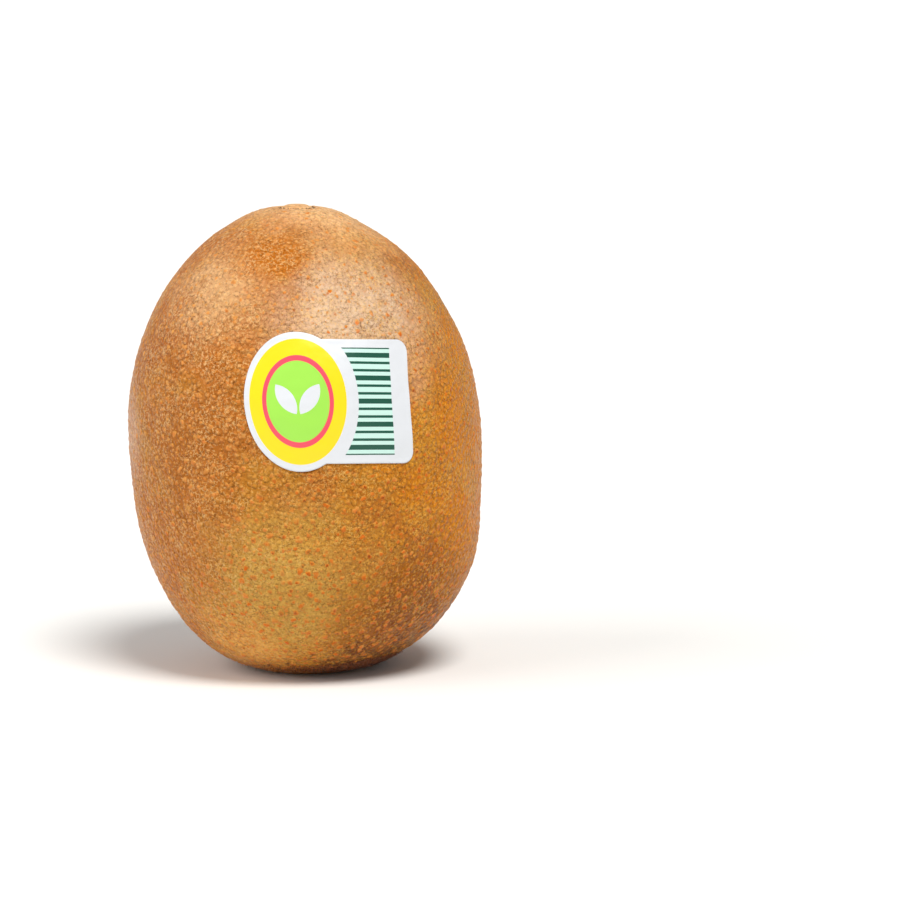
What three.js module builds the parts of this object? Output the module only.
// A golden kiwi fruit standing on its stem end, with a plain film label on its front.
// Millimetres, +Z up. The origin is on the table under the middle of the fruit, and the label faces -Y.
import * as THREE from "three";

// Body of the fruit
const WIDTH = 57; // left to right at the widest ring
const DEPTH = 55; // front to back at the widest ring
const WIDEST_AT = 38.5; // height of the widest ring above the table
const CROWN = 36.6; // from the widest ring up to the blossom end
const CROWN_POWER = 1.99; // 2 is an ellipse, and less is more pointed
const BASE_POWER = 2.44; // more than 2 gives the full shoulders of the stem end
const BASE_KEPT = 0.98; // share of the lower half above the flat spot
const HEIGHT = WIDEST_AT + CROWN;

// How the fruit grew out of true
const LEAN = -0.019; // sideways drift for each millimetre of height
const BOW = 0.35; // bend of the middle line to one side
const S_BEND = -0.75; // second, finer bend of the middle line
const HIP = 0.045; // share by which the lower right side swells
const HIP_AT = 14;
const HIP_REACH = 12;
const UNEVEN = 0.2; // height of the faint three-sided swelling round the fruit

// Blossom end, on top: a low cap, and on it a ring-shaped dip round a hard button
const CAP_HEIGHT = 0.45;
const CAP_FOOT = 11.8; // radius where the cap starts to rise
const CAP_TOP = 5.7; // radius inside which it is flat
const DIP_DEPTH = 0.4;
const DIP_RADIUS = 2.9;
const DIP_WIDTH = 0.8;
const BUTTON_HEIGHT = 0.1;
const BUTTON_RADIUS = 1.9;

// Stem end, on the table: a shallow pit with the scar of the stalk in it
const PIT_DEPTH = 1.3;
const PIT_RADIUS = 3.6;
const SCAR_HEIGHT = 1;
const SCAR_RADIUS = 1.8;
const EDGE_WIDTH = 0.9; // width of the slopes of pit, scar and button

// Label: an oval with a tab on its right, in the flat
const LABEL_AT = 47; // height of the middle of the oval
const LABEL_SIDE = -0.6; // from the front line of the fruit to the middle of the oval
const OVAL_HALF_WIDTH = 8.5;
const OVAL_HALF_HEIGHT = 11;
const TAB_END = 18.8; // from the middle of the oval to the end of the tab
const TAB_HALF_HEIGHT = 9.75;
const TAB_CORNER = 2;
const LABEL_DROOP = 0.0022; // fall of the label's lines towards its ends, per square millimetre
const LABEL_GAP = 0.2;
const LABEL_THICKNESS = 0.3;

// Fineness of the faceted surfaces
const SIDES = 56;
const BODY_RINGS = 32;
const LABEL_COLUMNS = 26;
const LABEL_ROWS = 14;

const FRONT = -Math.PI / 2;

// Rises smoothly from 0 to 1 as x goes from 0 to 1.
function ease(x) {
  const t = THREE.MathUtils.clamp(x, 0, 1);
  return t * t * (3 - 2 * t);
}

// Radius of the plain body at a height.
function radiusAt(z) {
  const above = z > WIDEST_AT;
  const reach = above ? CROWN : WIDEST_AT / BASE_KEPT;
  const power = above ? CROWN_POWER : BASE_POWER;
  const share = Math.min(Math.abs(z - WIDEST_AT) / reach, 1);
  return (WIDTH / 2) * Math.pow(1 - Math.pow(share, power), 1 / power);
}

// Sideways place of the middle line at a height.
function middleAt(z) {
  const g = (2 * z) / HEIGHT - 1;
  return LEAN * (z - HEIGHT / 2) - BOW * g * g + S_BEND * g * (1 - g * g);
}

// A point of the skin: an angle round the fruit, a radius before it swells, and a height.
function skinPoint(angle, radius, z) {
  const right = Math.max(Math.cos(angle), 0);
  const hip = HIP * right * right * Math.exp(-(((z - HIP_AT) / HIP_REACH) ** 2));
  const swell = (UNEVEN * Math.cos(3 * angle + 0.9) * radius) / (WIDTH / 2);
  const r = radius * (1 + hip) + swell;
  return new THREE.Vector3(middleAt(z) + r * Math.cos(angle), r * (DEPTH / WIDTH) * Math.sin(angle), z);
}

// Height of the relief on the blossom end at a radius.
function crownRelief(r) {
  const cap = CAP_HEIGHT * ease((CAP_FOOT - r) / (CAP_FOOT - CAP_TOP));
  const dip = DIP_DEPTH * Math.exp(-(((r - DIP_RADIUS) / DIP_WIDTH) ** 2));
  const button = BUTTON_HEIGHT * ease((BUTTON_RADIUS - r) / EDGE_WIDTH + 0.5);
  return cap - dip + button;
}

// Height of the stem end above the table at a radius inside the flat spot.
function baseRelief(r) {
  const pit = PIT_DEPTH * ease((PIT_RADIUS - r) / EDGE_WIDTH);
  const scar = SCAR_HEIGHT * ease((SCAR_RADIUS - r) / EDGE_WIDTH + 0.5);
  return pit - scar;
}

// Radius and height of each ring of the fruit, from the table up.
function fruitRings() {
  const flat = radiusAt(0);
  const rings = [];
  const pitRings = 10;
  for (let i = 1; i <= pitRings; i++) {
    const r = (i / pitRings) * PIT_RADIUS;
    rings.push([r, baseRelief(r)]);
  }
  rings.push([(PIT_RADIUS + flat) / 2, 0], [flat, 0]);

  // Equal turns of the outline's slope, so the rings lie closer together at both ends.
  const start = Math.asin(Math.pow(BASE_KEPT, BASE_POWER / 2));
  const crownEdge = Math.acos(Math.pow(CAP_FOOT / (WIDTH / 2), CROWN_POWER / 2));
  for (let i = 1; i <= BODY_RINGS; i++) {
    const turn = -start + (i / BODY_RINGS) * (start + crownEdge);
    const above = turn > 0;
    const reach = above ? CROWN : WIDEST_AT / BASE_KEPT;
    const power = above ? CROWN_POWER : BASE_POWER;
    const z = WIDEST_AT + Math.sign(turn) * reach * Math.pow(Math.abs(Math.sin(turn)), 2 / power);
    rings.push([radiusAt(z), z]);
  }

  const crownRings = 18;
  for (let i = crownRings - 1; i > 0; i--) {
    const r = (i / crownRings) * CAP_FOOT;
    const drop = 1 - Math.pow(1 - Math.pow(r / (WIDTH / 2), CROWN_POWER), 1 / CROWN_POWER);
    rings.push([r, HEIGHT - CROWN * drop + crownRelief(r)]);
  }
  return rings;
}

// The whole fruit: rings of points joined by triangles, closed by one point at each end.
function fruitGeometry() {
  const rings = fruitRings();
  const points = [skinPoint(0, 0, baseRelief(0))];
  for (const [radius, z] of rings) {
    for (let i = 0; i < SIDES; i++) {
      points.push(skinPoint((2 * Math.PI * i) / SIDES, radius, z));
    }
  }
  points.push(skinPoint(0, 0, HEIGHT + crownRelief(0)));

  const at = (ring, side) => 1 + ring * SIDES + (side % SIDES);
  const last = points.length - 1;
  const faces = [];
  for (let i = 0; i < SIDES; i++) {
    faces.push(0, at(0, i + 1), at(0, i));
    for (let ring = 0; ring < rings.length - 1; ring++) {
      faces.push(at(ring, i), at(ring, i + 1), at(ring + 1, i + 1));
      faces.push(at(ring, i), at(ring + 1, i + 1), at(ring + 1, i));
    }
    faces.push(last, at(rings.length - 1, i), at(rings.length - 1, i + 1));
  }
  return closedGeometry(points, faces);
}

// The height reached by going a distance up along the skin from the middle of the label.
function climb(distance) {
  const steps = 24;
  let z = LABEL_AT;
  for (let i = 0; i < steps; i++) {
    const slope = (radiusAt(z + 0.05) - radiusAt(z - 0.05)) / 0.1;
    z += distance / steps / Math.hypot(1, slope);
  }
  return z;
}

// A point over the skin: u to the right and v up in the flat label, lifted along the skin's normal.
function labelPoint(u, v, lift) {
  const onSkin = (across, along) => {
    const z = climb(along - LABEL_DROOP * across * across);
    return skinPoint(FRONT + (LABEL_SIDE + across) / radiusAt(z), radiusAt(z), z);
  };
  const step = 0.05;
  const point = onSkin(u, v);
  const right = onSkin(u + step, v).sub(onSkin(u - step, v));
  const up = onSkin(u, v + step).sub(onSkin(u, v - step));
  return point.addScaledVector(right.cross(up).normalize(), lift);
}

// Half the height of the label's outline at a distance from the middle of the oval.
function labelHalfHeight(u) {
  const oval = OVAL_HALF_HEIGHT * Math.sqrt(Math.max(1 - (u / OVAL_HALF_WIDTH) ** 2, 0));
  if (u < 0) return oval;
  const past = Math.max(u - (TAB_END - TAB_CORNER), 0);
  const tab = TAB_HALF_HEIGHT - TAB_CORNER + Math.sqrt(Math.max(TAB_CORNER ** 2 - past ** 2, 0));
  return Math.max(oval, tab);
}

// The label: one sheet of points under it and one over it, and a rim between them.
function labelGeometry() {
  const sheets = [LABEL_GAP, LABEL_GAP + LABEL_THICKNESS];
  const points = [];
  for (const lift of sheets) {
    for (let i = 0; i <= LABEL_COLUMNS; i++) {
      // Columns stand closer together at both ends, where the outline turns.
      const share = (1 - Math.cos((Math.PI * (i + 0.4)) / (LABEL_COLUMNS + 0.4))) / 2;
      const u = -OVAL_HALF_WIDTH + share * (OVAL_HALF_WIDTH + TAB_END);
      for (let j = 0; j <= LABEL_ROWS; j++) {
        points.push(labelPoint(u, labelHalfHeight(u) * ((2 * j) / LABEL_ROWS - 1), lift));
      }
    }
  }

  const rows = LABEL_ROWS + 1;
  const over = (LABEL_COLUMNS + 1) * rows;
  const at = (i, j) => i * rows + j;
  const faces = [];
  const quad = (a, b, c, d) => faces.push(a, b, c, a, c, d);
  for (let i = 0; i < LABEL_COLUMNS; i++) {
    for (let j = 0; j < LABEL_ROWS; j++) {
      quad(over + at(i, j), over + at(i + 1, j), over + at(i + 1, j + 1), over + at(i, j + 1));
      quad(at(i, j), at(i, j + 1), at(i + 1, j + 1), at(i + 1, j));
    }
    quad(at(i, 0), at(i + 1, 0), over + at(i + 1, 0), over + at(i, 0));
    quad(at(i + 1, LABEL_ROWS), at(i, LABEL_ROWS), over + at(i, LABEL_ROWS), over + at(i + 1, LABEL_ROWS));
  }
  for (let j = 0; j < LABEL_ROWS; j++) {
    quad(at(0, j + 1), at(0, j), over + at(0, j), over + at(0, j + 1));
    quad(at(LABEL_COLUMNS, j), at(LABEL_COLUMNS, j + 1), over + at(LABEL_COLUMNS, j + 1), over + at(LABEL_COLUMNS, j));
  }
  return closedGeometry(points, faces);
}

// A geometry from a list of points and the triangles that join them.
function closedGeometry(points, faces) {
  const geometry = new THREE.BufferGeometry().setFromPoints(points);
  geometry.setIndex(faces);
  geometry.computeVertexNormals();
  return geometry;
}

// A named mesh with its own material.
function piece(name, geometry, color, roughness) {
  const mesh = new THREE.Mesh(geometry, new THREE.MeshStandardMaterial({ color, roughness, metalness: 0 }));
  mesh.name = name;
  return mesh;
}

const kiwi = new THREE.Group();
kiwi.add(piece("fruit", fruitGeometry(), "#c48a4a", 0.6));
kiwi.add(piece("label", labelGeometry(), "#f1f3f5", 0.35));

export default kiwi;
